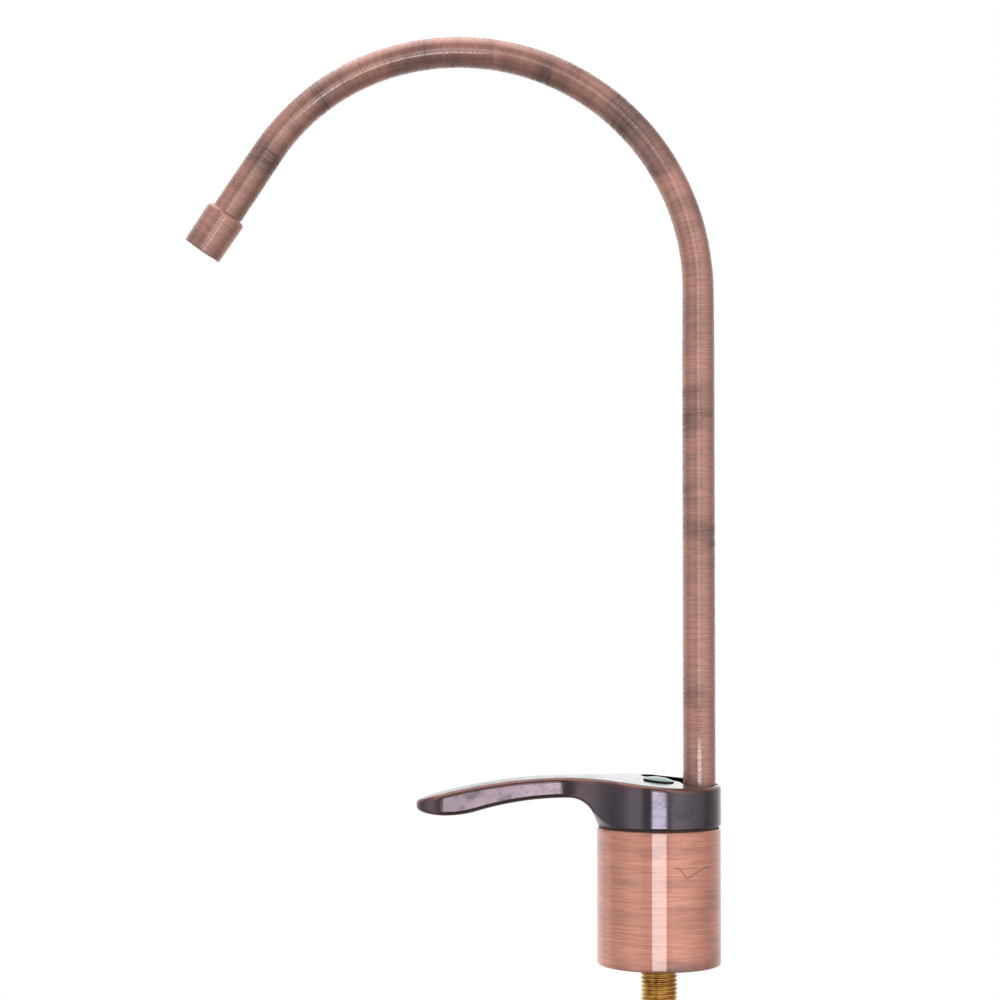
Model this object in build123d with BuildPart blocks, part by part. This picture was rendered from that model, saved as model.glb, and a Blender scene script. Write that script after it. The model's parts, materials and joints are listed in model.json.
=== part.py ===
from build123d import *
import math
import os

# A single-lever drinking water tap with a swivelling gooseneck spout.
# Millimetres. The origin is the centre of the body's underside, which rests on the worktop.
# +Z is up, the lever and the outlet point along -X, and the spout stands on the +X side.

# Clearances and shared allowances
running_gap = 0.06      # radial gap round a shaft that turns or slides
seat_gap = 0.05         # gap between flat faces that slide on each other
thread_gap = 0.02       # radial gap of a screwed or pressed joint
free_gap = 0.5          # room round a piece that moves past another
edge_break = 0.35       # small chamfers on turned pieces
cut_overrun = 1.0       # how far a cut runs past the face that it opens

# Body, a turned brass pillar
body_radius = 19.2
body_height = 41.8
body_foot_round = 0.6
body_rim_round = 0.4
shank_socket_depth = 13.5
inlet_neck = 5.5
inlet_bore_radius = 3.0
gallery_radius = 6.7
passage_radius = 1.8
spout_offset = 12.5
gasket_mean_radius = 15.4
gasket_width = 2.2
gasket_height = 1.5

# Fixing shank and the pieces that clamp the tap to a worktop
shank_radius = 5.55
shank_bore_radius = 3.2
shank_below_worktop = 58.0
shank_chamfer = 0.8
shank_seal_height = 1.4
worktop_thickness = 30.0
washer_radius = 13.0
rubber_washer_height = 2.5
backing_washer_height = 1.5
lock_washer_radius = 8.8
lock_washer_height = 2.0
lock_washer_slit = 1.2
nut_across_flats = 17.5
nut_height = 6.4
corner_bevel = 30.0     # degrees, the slope at which a hexagon's corners are turned off

# Push-fit connector for the water tube
connector_radius = 9.0
connector_hex_across_flats = 17.0
connector_grip = 12.5
connector_seal_height = 1.4
connector_web = 2.0
tube_port_radius = 3.25
tube_stop_depth = 6.5
port_seal_height = 1.8
port_seal_radius = 4.9
grab_ring_height = 0.9
grab_ring_radius = 5.3
grab_teeth = 8
collet_radius = 4.7
collet_length = 6.0
collet_flange_radius = 6.6
collet_flange_height = 1.6
collet_travel = 1.2
collet_barb = 0.35
collet_barb_height = 0.8

# Quarter-turn ceramic cartridge
cartridge_radius = 6.0
cartridge_cavity_radius = 4.95
cartridge_foot_gap = 0.5
seat_seal_height = 2.2
seat_seal_bore_radius = 3.2
disc_radius = 4.8
disc_thickness = 2.4
disc_port_inner_radius = 1.5
disc_port_outer_radius = 3.9
disc_port_angle = 76.0
quarter_turn = 90.0
foot_half_angle = 22.0
foot_height = 1.4
tongue_width = 2.0
tongue_depth = 1.0
tongue_length = 6.6
stop_depth = 1.0
stop_play = 1.0         # degrees of free travel left at each stop
chamber_height = 2.4
window_width = 5.0
collar_radius = 4.3
collar_height = 1.2
thrust_washer_height = 0.5
stem_radius = 3.0
stem_waist_radius = 2.5
head_across_flats = 12.0
head_height = 2.8
ring_section = 1.0
ring_groove_width = 1.3
stem_ring_spacing = 2.6
clip_radius = 4.4
clip_thickness = 0.8
clip_groove_depth = 0.6
clip_land = 0.5
spline_length = 3.5
spline_teeth = 12
spline_flute_radius = 0.38
stem_screw_radius = 1.5

# Glide plate between body and lever
glide_plate_radius = 18.5
glide_plate_thickness = 0.65

# Lever, a casting whose ring carries a long arched paddle
lever_radius = 19.2
lever_skirt_wall = 1.3
lever_hollow_height = 8.4
lever_heel_height = 12.5
lever_heel_reach = 17.0
lever_crown_height = 14.8
lever_crown_reach = 25.0
lever_fall_radius = 220.0
lever_tip_reach = 75.1
paddle_thickness = 6.2
paddle_belly_reach = 55.7
paddle_belly_drop = 4.25
paddle_end_drop = 8.0
neck_half_width = 5.7
neck_blend_radius = 25.9
neck_foot_rise = 6.0
neck_foot_spread = 4.0
neck_foot_overlap = 0.1
lever_cross_fall = 1.5      # degrees
paddle_half_width = 6.6
paddle_shoulder_reach = 66.0
lever_edge_round = 1.5
paddle_edge_round = 1.3
lever_foot_round = 0.5
lever_boss_radius = 5.9
lever_web_thickness = 1.8
slot_clearance = 0.6

# Lever screw and its cap
screw_head_radius = 2.9
screw_head_height = 2.0
screw_socket_across_flats = 2.5
screw_socket_depth = 1.1
screw_length = 6.5
cap_radius = 4.5
cap_dome_height = 1.4
cap_rim_height = 1.3
cap_skirt_wall = 0.7

# Spout, a bent tube with a sealing spigot at its foot
tube_radius = 5.0
tube_wall = 1.0
bend_start_height = 207.3
main_bend_radius = 76.1
main_bend_angle = 102.9
end_bend_radius = 69.4
end_bend_angle = 42.9
end_run = 30.6
tube_foot_above_passage = 8.0
spigot_tail_length = 6.0
spigot_waist_radius = 3.8
spigot_waist_height = 3.2
spigot_bore_radius = 2.3
spigot_port_radius = 1.1
spigot_floor = 3.2
spigot_land = 0.9
retaining_ring_height = 1.1
retaining_ring_depth = 0.45
retaining_ring_width = 1.25
retaining_ring_slit = 1.6
socket_floor_gap = 0.6

# Outlet collar and what it holds
collar_outer_radius = 6.6
collar_mouth_radius = 6.4
collar_length = 14.4
collar_shoulder_round = 1.45
collar_socket_depth = 7.6
outlet_seal_height = 1.0
insert_radius = 4.9
straightener_cell = 0.75
straightener_pitch = 1.9
screen_thickness = 0.4
screen_hole = 0.8
screen_pitch = 1.15
screen_count = 7
collar_lip = 0.7
collar_lip_width = 0.75

os.makedirs("parts", exist_ok=True)


def turned(outline, seat=Plane.XY):
    """A solid of revolution round a seat plane's own Z axis, from (radius, height) points."""
    with BuildPart() as blank:
        with BuildSketch(Plane(seat.origin, x_dir=seat.x_dir, z_dir=-seat.y_dir)):
            with BuildLine():
                Polyline(*outline, close=True)
            make_face()
        revolve(axis=Axis(seat.origin, seat.z_dir))
    return blank.part


def ring(inner, outer, bottom, top, seat=Plane.XY):
    """A plain ring between two heights over a seat plane."""
    return turned([(inner, bottom), (outer, bottom), (outer, top), (inner, top)], seat)


def seal_ring(mean_radius, section_radius, height, seat=Plane.XY):
    """A ring of round section about a seat plane's own Z axis."""
    with BuildPart() as blank:
        with BuildSketch(Plane(seat.origin, x_dir=seat.x_dir, z_dir=-seat.y_dir)):
            with Locations((mean_radius, height)):
                Circle(section_radius)
        revolve(axis=Axis(seat.origin, seat.z_dir))
    return blank.part


# Heights worked out from the bottom of the body upwards
seat_level = shank_socket_depth + inlet_neck
fixed_disc_level = seat_level + seat_seal_height
moving_disc_level = fixed_disc_level + disc_thickness
foot_level = moving_disc_level + disc_thickness
chamber_level = foot_level + foot_height
passage_level = chamber_level + chamber_height / 2
collar_level = chamber_level + chamber_height
thrust_level = collar_level + collar_height
shoulder_level = thrust_level + thrust_washer_height
head_level = body_height + head_height
clip_level = head_level + seat_gap
spline_level = clip_level + clip_thickness + clip_land
spline_top = spline_level + spline_length
cartridge_bore_radius = cartridge_radius + thread_gap
cartridge_foot_level = seat_level + cartridge_foot_gap

# Spout socket, measured from the water passage that feeds it
socket_radius = tube_radius + running_gap
tube_foot = passage_level + tube_foot_above_passage
waist_bottom = passage_level - spigot_waist_height / 2
waist_top = passage_level + spigot_waist_height / 2
lower_ring_level = waist_bottom - spigot_land - ring_groove_width / 2
upper_ring_level = waist_top + spigot_land + ring_groove_width / 2
spigot_foot = lower_ring_level - ring_groove_width / 2 - spigot_land
socket_floor = spigot_foot - socket_floor_gap
retaining_level = upper_ring_level + ring_groove_width / 2 + spigot_land
spout_seat = Plane((spout_offset, 0, 0))

# Body
with BuildPart() as body:
    with BuildSketch():
        Circle(body_radius)
    extrude(amount=body_height)
    fillet(body.edges().sort_by(Axis.Z)[0], body_foot_round)
    fillet(body.edges().sort_by(Axis.Z)[-1], body_rim_round)
    with BuildSketch(Plane.XY.offset(seat_level)):
        Circle(cartridge_bore_radius)
    extrude(amount=body_height - seat_level, mode=Mode.SUBTRACT)
    with BuildSketch(Plane.XY.offset(chamber_level)):
        Circle(gallery_radius)
    extrude(amount=chamber_height, mode=Mode.SUBTRACT)
    with BuildSketch():
        Circle(inlet_bore_radius)
    extrude(amount=seat_level, mode=Mode.SUBTRACT)
    with BuildSketch():
        Circle(shank_radius + thread_gap)
    extrude(amount=shank_socket_depth, mode=Mode.SUBTRACT)
    with BuildSketch():
        Circle(gasket_mean_radius + gasket_width / 2 + thread_gap)
        Circle(gasket_mean_radius - gasket_width / 2 - thread_gap, mode=Mode.SUBTRACT)
    extrude(amount=gasket_height + thread_gap, mode=Mode.SUBTRACT)
    with BuildSketch(Plane.XY.offset(socket_floor)):
        with Locations((spout_offset, 0)):
            Circle(socket_radius)
    extrude(amount=body_height - socket_floor, mode=Mode.SUBTRACT)
    with BuildSketch(Plane.XY.offset(retaining_level - seat_gap)):
        with Locations((spout_offset, 0)):
            Circle(socket_radius + retaining_ring_depth)
    extrude(amount=retaining_ring_height + seat_gap + seat_gap, mode=Mode.SUBTRACT)
    with BuildSketch(Plane.YZ):
        with Locations((0, passage_level)):
            Circle(passage_radius)
    extrude(amount=spout_offset, mode=Mode.SUBTRACT)

# Gasket in the groove of the body's underside
with BuildPart() as base_gasket:
    with BuildSketch():
        Circle(gasket_mean_radius + gasket_width / 2)
        Circle(gasket_mean_radius - gasket_width / 2, mode=Mode.SUBTRACT)
    extrude(amount=gasket_height)

# Threaded shank, drilled through for the water
shank_top = shank_socket_depth - shank_seal_height
with BuildPart() as threaded_shank:
    with BuildSketch(Plane.XY.offset(-shank_below_worktop)):
        Circle(shank_radius)
        Circle(shank_bore_radius, mode=Mode.SUBTRACT)
    extrude(amount=shank_below_worktop + shank_top)
    rims = threaded_shank.edges().filter_by(GeomType.CIRCLE).sort_by(SortBy.RADIUS)[-2:]
    chamfer(rims, shank_chamfer)

with BuildPart() as shank_seal:
    add(ring(shank_bore_radius, shank_radius - thread_gap, shank_top, shank_socket_depth))

# Clamping stack, from the worktop's underside downwards
rubber_washer_foot = -worktop_thickness - rubber_washer_height
backing_washer_foot = rubber_washer_foot - backing_washer_height
lock_washer_foot = backing_washer_foot - lock_washer_height
nut_foot = lock_washer_foot - nut_height
washer_hole_radius = shank_radius + edge_break

with BuildPart() as rubber_washer:
    add(ring(washer_hole_radius, washer_radius, rubber_washer_foot, -worktop_thickness))
    chamfer(rubber_washer.edges().filter_by(GeomType.CIRCLE).sort_by(SortBy.RADIUS)[-2:], edge_break)

with BuildPart() as backing_washer:
    add(ring(washer_hole_radius, washer_radius, backing_washer_foot, rubber_washer_foot))
    chamfer(backing_washer.edges().filter_by(GeomType.CIRCLE).sort_by(SortBy.RADIUS)[-2:], edge_break)

with BuildPart() as lock_washer:
    add(ring(washer_hole_radius, lock_washer_radius, lock_washer_foot, backing_washer_foot))
    with BuildSketch(Plane.YZ.offset(shank_bore_radius)):
        with Locations(Location((0, lock_washer_foot + lock_washer_height / 2), -quarter_turn / 3)):
            Rectangle(lock_washer_slit, lock_washer_height * 3)
    extrude(amount=lock_washer_radius, mode=Mode.SUBTRACT)


def hexagon_blank(across_flats, bottom, height):
    """A hexagon bar with its corners turned off at both ends."""
    corner_radius = across_flats / math.sqrt(3)
    turned_off = (corner_radius - across_flats / 2) * math.tan(math.radians(corner_bevel))
    with BuildPart() as blank:
        with BuildSketch(Plane.XY.offset(bottom)):
            RegularPolygon(across_flats / 2, 6, major_radius=False)
        extrude(amount=height)
        with BuildSketch(Plane.XZ):
            with BuildLine():
                Polyline(
                    (0, bottom),
                    (across_flats / 2, bottom),
                    (corner_radius, bottom + turned_off),
                    (corner_radius, bottom + height - turned_off),
                    (across_flats / 2, bottom + height),
                    (0, bottom + height),
                    close=True,
                )
            make_face()
        revolve(axis=Axis.Z, mode=Mode.INTERSECT)
    return blank.part


with BuildPart() as mounting_nut:
    add(hexagon_blank(nut_across_flats, nut_foot, nut_height))
    with BuildSketch(Plane.XY.offset(nut_foot)):
        Circle(shank_radius + thread_gap)
    extrude(amount=nut_height, mode=Mode.SUBTRACT)
    mouths = mounting_nut.edges().filter_by(GeomType.CIRCLE).sort_by(SortBy.RADIUS)[:2]
    chamfer(mouths, edge_break)

# Push-fit connector, screwed to the foot of the shank
connector_seal_foot = -shank_below_worktop - connector_seal_height
connector_top = -shank_below_worktop + connector_grip - connector_seal_height
port_top = connector_seal_foot - connector_web
port_seal_top = port_top - tube_stop_depth
grab_top = port_seal_top - port_seal_height
grab_foot = grab_top - grab_ring_height
collet_top = grab_foot - collet_travel - seat_gap
connector_foot = collet_top - collet_length
collet_flange_top = connector_foot - collet_travel - seat_gap
barb_foot = collet_top - collet_barb_height
barb_shelf = barb_foot - seat_gap

with BuildPart() as connector_body:
    hex_height = connector_top - port_top
    add(hexagon_blank(connector_hex_across_flats, port_top, hex_height))
    with BuildSketch(Plane.XY.offset(connector_foot)):
        Circle(connector_radius)
    extrude(amount=port_top - connector_foot)
    chamfer(connector_body.edges().filter_by(GeomType.CIRCLE).sort_by(Axis.Z)[0], edge_break * 2)
    with BuildSketch(Plane.XY.offset(connector_seal_foot)):
        Circle(shank_radius + thread_gap)
    extrude(amount=connector_grip, mode=Mode.SUBTRACT)
    with BuildSketch(Plane.XY.offset(port_seal_top)):
        Circle(tube_port_radius)
    extrude(amount=tube_stop_depth, mode=Mode.SUBTRACT)
    with BuildSketch(Plane.XY.offset(port_top)):
        Circle(spigot_bore_radius)
    extrude(amount=connector_web, mode=Mode.SUBTRACT)
    with BuildSketch(Plane.XY.offset(grab_top)):
        Circle(port_seal_radius)
    extrude(amount=port_seal_height, mode=Mode.SUBTRACT)
    with BuildSketch(Plane.XY.offset(grab_foot)):
        Circle(grab_ring_radius)
    extrude(amount=grab_ring_height, mode=Mode.SUBTRACT)
    with BuildSketch(Plane.XY.offset(barb_shelf)):
        Circle(collet_radius + collet_barb + running_gap)
    extrude(amount=grab_foot - barb_shelf, mode=Mode.SUBTRACT)
    with BuildSketch(Plane.XY.offset(connector_foot)):
        Circle(collet_radius + running_gap)
    extrude(amount=barb_shelf - connector_foot, mode=Mode.SUBTRACT)

with BuildPart() as connector_seal:
    add(ring(spigot_bore_radius, shank_radius - thread_gap, connector_seal_foot, -shank_below_worktop))

port_seal_section = (port_seal_radius - tube_port_radius) / 2 - thread_gap
with BuildPart() as connector_o_ring:
    add(seal_ring(port_seal_radius - thread_gap - port_seal_section, port_seal_section,
                  grab_top + port_seal_height / 2))

with BuildPart() as connector_grab_ring:
    add(ring(tube_port_radius, grab_ring_radius - thread_gap, grab_foot, grab_top))
    with BuildSketch(Plane.XY.offset(grab_foot)):
        with PolarLocations(tube_port_radius, grab_teeth):
            Rectangle(tube_wall, ring_section / 2)
    extrude(amount=grab_ring_height, mode=Mode.SUBTRACT)

with BuildPart() as connector_collet:
    collet_outline = [
        (tube_port_radius + running_gap, collet_flange_top - collet_flange_height),
        (collet_flange_radius, collet_flange_top - collet_flange_height),
        (collet_flange_radius, collet_flange_top),
        (collet_radius, collet_flange_top),
        (collet_radius, barb_foot),
        (collet_radius + collet_barb, barb_foot),
        (collet_radius, collet_top),
        (tube_port_radius + running_gap, collet_top),
    ]
    add(turned(collet_outline))

def port_sectors(first_angle):
    """Two opposite kidney ports, centred on an angle, for a disc lying on its own plane."""
    half = math.radians(disc_port_angle / 2)
    reach = disc_port_outer_radius
    with BuildSketch() as ports:
        Circle(disc_port_outer_radius)
        Circle(disc_port_inner_radius, mode=Mode.SUBTRACT)
        with BuildSketch(mode=Mode.INTERSECT):
            with PolarLocations(0, 2, start_angle=first_angle):
                Polygon((0, 0), (reach, -reach * math.tan(half)), (reach, reach * math.tan(half)),
                        align=None)
    return ports.sketch


# Ceramic cartridge: seal, discs, housing, stop sectors and thrust washer
with BuildPart() as seat_seal:
    add(ring(seat_seal_bore_radius, disc_radius, seat_level, fixed_disc_level))

with BuildPart() as fixed_disc:
    with BuildSketch(Plane.XY.offset(fixed_disc_level)):
        Circle(disc_radius)
        add(port_sectors(0), mode=Mode.SUBTRACT)
    extrude(amount=disc_thickness)

with BuildPart() as moving_disc:
    with BuildSketch(Plane.XY.offset(moving_disc_level)):
        Circle(disc_radius)
        add(port_sectors(quarter_turn), mode=Mode.SUBTRACT)
    extrude(amount=disc_thickness)
    with BuildSketch(Plane.XY.offset(foot_level)):
        Rectangle(tongue_length + thread_gap * 2, tongue_width + thread_gap * 2)
    extrude(amount=-tongue_depth - thread_gap, mode=Mode.SUBTRACT)

stem_bore_radius = stem_radius + running_gap
with BuildPart() as cartridge_body:
    add(hexagon_blank(head_across_flats, body_height, head_height))
    with BuildSketch(Plane.XY.offset(cartridge_foot_level)):
        Circle(cartridge_radius)
    extrude(amount=body_height - cartridge_foot_level)
    with BuildSketch(Plane.XY.offset(cartridge_foot_level)):
        Circle(cartridge_cavity_radius)
    extrude(amount=shoulder_level - cartridge_foot_level, mode=Mode.SUBTRACT)
    with BuildSketch(Plane.XY.offset(shoulder_level)):
        Circle(stem_bore_radius)
    extrude(amount=head_level - shoulder_level, mode=Mode.SUBTRACT)
    with BuildSketch(Plane.XY.offset(chamber_level)):
        Rectangle(cartridge_radius * 3, window_width)
        Rectangle(window_width, cartridge_radius * 3)
        Circle(cartridge_cavity_radius, mode=Mode.SUBTRACT)
    extrude(amount=chamber_height, mode=Mode.SUBTRACT)
    ring_level = shoulder_level + ring_groove_width * 2
    with BuildSketch(Plane.XY.offset(ring_level - ring_groove_width / 2)):
        Circle(cartridge_radius)
        Circle(cartridge_bore_radius - ring_section, mode=Mode.SUBTRACT)
    extrude(amount=ring_groove_width, mode=Mode.SUBTRACT)
    with BuildSketch(Plane.XY.offset(foot_level)):
        Circle(cartridge_cavity_radius + thread_gap)
        Circle(cartridge_cavity_radius - stop_depth, mode=Mode.SUBTRACT)
        with BuildSketch(mode=Mode.INTERSECT):
            stop_half = quarter_turn / 2 - foot_half_angle - stop_play
            stop_reach = cartridge_radius
            stop_spread = stop_reach * math.tan(math.radians(stop_half))
            with PolarLocations(0, 2, start_angle=quarter_turn / 2):
                Polygon((0, 0), (stop_reach, -stop_spread), (stop_reach, stop_spread), align=None)
    extrude(amount=foot_height)

with BuildPart() as cartridge_o_ring:
    section = ring_section / 2 - thread_gap
    add(seal_ring(cartridge_bore_radius - ring_section / 2, section, ring_level))

with BuildPart() as thrust_washer:
    add(ring(stem_bore_radius, cartridge_cavity_radius - running_gap, thrust_level, shoulder_level))

# Spindle, with its foot bar, collar, two ring grooves, clip groove and spline
groove_root = stem_radius + running_gap - ring_section
lower_stem_ring = ring_level
upper_stem_ring = ring_level + stem_ring_spacing


def spline_outline(gap):
    """The spline's cross section, opened by a gap for the socket that takes it."""
    with BuildSketch() as outline:
        Circle(stem_radius + gap)
        with PolarLocations(stem_radius + gap, spline_teeth):
            Circle(spline_flute_radius, mode=Mode.SUBTRACT)
    return outline.sketch


with BuildPart() as spindle:
    foot_reach = cartridge_cavity_radius - free_gap / 2
    foot_width = 2 * (cartridge_cavity_radius - stop_depth) * math.sin(math.radians(foot_half_angle))
    with BuildSketch(Plane.XY.offset(foot_level)):
        Circle(foot_reach)
        Rectangle(foot_reach * 2, foot_width, mode=Mode.INTERSECT)
    extrude(amount=foot_height)
    with BuildSketch(Plane.XY.offset(foot_level - tongue_depth)):
        Rectangle(tongue_length, tongue_width)
    extrude(amount=tongue_depth)
    stem_outline = [
        (0, chamber_level),
        (stem_waist_radius, chamber_level),
        (stem_waist_radius, collar_level),
        (collar_radius, collar_level),
        (collar_radius, thrust_level),
        (stem_radius, thrust_level),
        (stem_radius, spline_level),
        (0, spline_level),
    ]
    add(turned(stem_outline))
    with BuildSketch(Plane.XY.offset(spline_level)):
        add(spline_outline(0))
    extrude(amount=spline_length)
    for level in (lower_stem_ring, upper_stem_ring):
        with BuildSketch(Plane.XY.offset(level - ring_groove_width / 2)):
            Circle(stem_radius)
            Circle(groove_root, mode=Mode.SUBTRACT)
        extrude(amount=ring_groove_width, mode=Mode.SUBTRACT)
    with BuildSketch(Plane.XY.offset(clip_level)):
        Circle(stem_radius)
        Circle(stem_radius - clip_groove_depth, mode=Mode.SUBTRACT)
    extrude(amount=clip_thickness, mode=Mode.SUBTRACT)
    with BuildSketch(Plane.XY.offset(spline_top)):
        Circle(stem_screw_radius + thread_gap)
    extrude(amount=-screw_length, mode=Mode.SUBTRACT)

with BuildPart() as spindle_o_rings:
    for level in (lower_stem_ring, upper_stem_ring):
        add(seal_ring(stem_bore_radius - ring_section / 2, ring_section / 2 - thread_gap, level))

with BuildPart() as spindle_clip:
    with BuildSketch(Plane.XY.offset(clip_level)):
        Circle(clip_radius)
        Circle(stem_radius - clip_groove_depth + thread_gap, mode=Mode.SUBTRACT)
        with Locations((0, -clip_radius / 2)):
            Rectangle(stem_radius, clip_radius, mode=Mode.SUBTRACT)
    extrude(amount=clip_thickness)

# Glide plate, which the lever's skirt turns on
plate_top = body_height + glide_plate_thickness
head_corner_radius = head_across_flats / math.sqrt(3)
with BuildPart() as glide_plate:
    with BuildSketch(Plane.XY.offset(body_height)):
        Circle(glide_plate_radius)
        Circle(head_corner_radius + running_gap, mode=Mode.SUBTRACT)
        with Locations((spout_offset, 0)):
            Circle(tube_radius + running_gap * 2, mode=Mode.SUBTRACT)
    extrude(amount=glide_plate_thickness)

# Lever
lever_foot = plate_top + seat_gap
crown_level = lever_foot + lever_crown_height
heel_level = lever_foot + lever_heel_height
roof_level = lever_foot + lever_hollow_height
neck_level = crown_level - paddle_thickness
fall_run = lever_crown_reach + lever_heel_reach
fall_angle = 2 * math.degrees(math.atan((crown_level - heel_level) / fall_run))
flat_radius = fall_run / math.sin(math.radians(fall_angle)) - lever_fall_radius
neck_foot_reach = lever_radius - neck_foot_overlap * 2
neck_corner_radius = lever_radius - neck_foot_overlap
neck_foot_level = lever_foot + lever_foot_round
neck_arc_radius = neck_level - neck_foot_level
axis_rise = math.sqrt(lever_fall_radius**2 - lever_crown_reach**2)
axis_level = crown_level - lever_fall_radius + axis_rise
boss_foot = spline_level + seat_gap
web_foot = spline_top + seat_gap
web_top = web_foot + lever_web_thickness
paddle_end_reach = lever_tip_reach + cut_overrun
paddle_end_level = crown_level - paddle_end_drop
paddle_end_thickness = lever_edge_round + paddle_edge_round - free_gap
cap_seat = axis_level - cap_rim_height


def paddle_plan():
    """The paddle seen from above: bowed sides and a half-elliptical tip."""
    with BuildSketch() as plan:
        with BuildLine():
            tip = EllipticalCenterArc(
                (-paddle_shoulder_reach, 0),
                lever_tip_reach - paddle_shoulder_reach,
                paddle_half_width,
                start_angle=quarter_turn,
                arc_size=2 * quarter_turn,
            )
            far = TangentArc(tip @ 0, (0, neck_half_width), tangent=(1, 0))
            near = TangentArc(tip @ 1, (0, -neck_half_width), tangent=(1, 0))
            Line(far @ 1, near @ 1)
        make_face()
    return plan.sketch


def lever_plan():
    """The whole lever seen from above: a ring and a paddle with rounded corners between them."""
    with BuildSketch() as plan:
        Circle(lever_radius)
        add(paddle_plan())
        corners = plan.vertices().sort_by(Axis.X)
        fillet(corners[2:4], neck_blend_radius)
    return plan.sketch


def lever_side():
    """The lever seen from the side: its falling back, the neck's arc and the paddle's belly."""
    with BuildSketch() as side:
        with BuildLine():
            fall = JernArc((-lever_crown_reach, crown_level), (1, 0), lever_fall_radius, -fall_angle)
            level_off = JernArc(fall @ 1, fall % 1, flat_radius, fall_angle)
            flat = Polyline(
                level_off @ 1,
                (lever_radius + cut_overrun, heel_level),
                (lever_radius + cut_overrun, lever_foot),
                (-neck_foot_reach, lever_foot),
                (-neck_foot_reach, neck_foot_level),
            )
            neck = JernArc(flat @ 1, (0, 1), neck_arc_radius, quarter_turn)
            belly_start = (-paddle_belly_reach, neck_level - paddle_belly_drop)
            belly_end = (-paddle_end_reach, paddle_end_level - paddle_end_thickness)
            back_end = (-paddle_end_reach, paddle_end_level)
            under = TangentArc(neck @ 1, belly_start, tangent=(-1, 0))
            TangentArc(belly_start, belly_end, tangent=under % 1)
            TangentArc((-lever_crown_reach, crown_level), back_end, tangent=(-1, 0))
            Line(belly_end, back_end)
        make_face()
    return side.sketch


def face_rim(faces, side):
    """The outer edges of all faces that look up (side 1) or down (side -1)."""
    facing = faces.filter_by(lambda face: side * face.normal_at(face.center()).Z > 1 / 2)
    edges = [edge for face in facing for edge in face.edges()]
    return [edge for edge in edges if sum(edge.is_same(other) for other in edges) == 1]


def lower_rim(faces):
    """The outer edges of the paddle's underside and of the neck's arc, down to the ring's foot."""
    edges = face_rim(faces.filter_by(lambda face: face.center().X < -lever_radius), -1)
    return [edge for edge in edges if edge.center().Z > lever_foot + lever_foot_round]


# The back falls a little towards the near side, so the outline is carried across at that slope
cross_fall = math.radians(lever_cross_fall)
across = (0, math.cos(cross_fall), math.sin(cross_fall))
lever_width = 2 * (lever_radius + cut_overrun)
near_corner = (0, -lever_width / 2, -lever_width / 2 * math.tan(cross_fall))
near_plane = Plane(near_corner, x_dir=(1, 0, 0), z_dir=(0, -1, 0))

with BuildLine() as slot_path:
    CenterArc((0, 0), spout_offset, 0, quarter_turn)

with BuildPart() as lever_ring:
    with BuildSketch(Plane.XY.offset(lever_foot)):
        Circle(lever_radius)
    extrude(amount=lever_hollow_height)
    fillet(lever_ring.edges().filter_by(GeomType.CIRCLE).sort_by(Axis.Z)[0], lever_foot_round)

with BuildPart() as lever:
    with BuildSketch(Plane.XY.offset(neck_foot_level)):
        add(lever_plan())
    extrude(amount=lever_crown_height + cut_overrun)
    with BuildSketch(near_plane):
        add(lever_side())
    extrude(amount=lever_width / math.cos(cross_fall), dir=across, mode=Mode.INTERSECT)
    fillet(face_rim(lever.faces(), 1), lever_edge_round)
    fillet(lower_rim(lever.faces()), paddle_edge_round)

    # The neck's corners, cut back to a cone that grows out of the ring's foot
    with BuildSketch(Plane.XZ):
        Polygon(
            (neck_corner_radius, lever_foot),
            (neck_corner_radius, neck_foot_level),
            (neck_corner_radius + neck_foot_spread, neck_foot_level + neck_foot_rise),
            (lever_radius * 2, neck_foot_level + neck_foot_rise),
            (lever_radius * 2, lever_foot),
            align=None,
        )
    revolve(axis=Axis.Z, mode=Mode.SUBTRACT)
    add(lever_ring.part)

    # The hollow under the ring, with the boss left standing in it
    with BuildSketch(Plane.XY.offset(lever_foot)):
        Circle(lever_radius - lever_skirt_wall)
    extrude(amount=lever_hollow_height, mode=Mode.SUBTRACT)
    with BuildSketch(Plane.XY.offset(boss_foot)):
        Circle(lever_boss_radius)
    extrude(amount=roof_level - boss_foot)
    with BuildSketch(Plane.XY.offset(boss_foot)):
        add(spline_outline(thread_gap))
    extrude(amount=web_foot - boss_foot, mode=Mode.SUBTRACT)
    with BuildSketch(Plane.XY.offset(web_foot)):
        Circle(stem_screw_radius + running_gap)
    extrude(amount=lever_web_thickness, mode=Mode.SUBTRACT)
    with BuildSketch(Plane.XY.offset(web_top)):
        Circle(screw_head_radius + free_gap)
    extrude(amount=cap_seat - web_top, mode=Mode.SUBTRACT)
    with BuildSketch(Plane.XY.offset(cap_seat)):
        Circle(cap_radius + thread_gap)
    extrude(amount=lever_crown_height, mode=Mode.SUBTRACT)

    # The quarter-circle slot that the spout stands in, from the paddle's far side to the spout
    with BuildSketch(Plane.XY.offset(roof_level - cut_overrun)):
        SlotArc(slot_path.wire(), 2 * (tube_radius + slot_clearance))
    extrude(amount=lever_crown_height, mode=Mode.SUBTRACT)

# Lever screw and cap
with BuildPart() as lever_screw:
    with BuildSketch(Plane.XY.offset(web_top)):
        Circle(screw_head_radius)
    extrude(amount=screw_head_height)
    fillet(lever_screw.edges().filter_by(GeomType.CIRCLE).sort_by(Axis.Z)[-1], edge_break)
    with BuildSketch(Plane.XY.offset(web_top)):
        Circle(stem_screw_radius)
    extrude(amount=-screw_length)
    chamfer(lever_screw.edges().filter_by(GeomType.CIRCLE).sort_by(Axis.Z)[0], edge_break)
    with BuildSketch(Plane.XY.offset(web_top + screw_head_height)):
        RegularPolygon(screw_socket_across_flats / 2, 6, major_radius=False)
    extrude(amount=-screw_socket_depth, mode=Mode.SUBTRACT)

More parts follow.
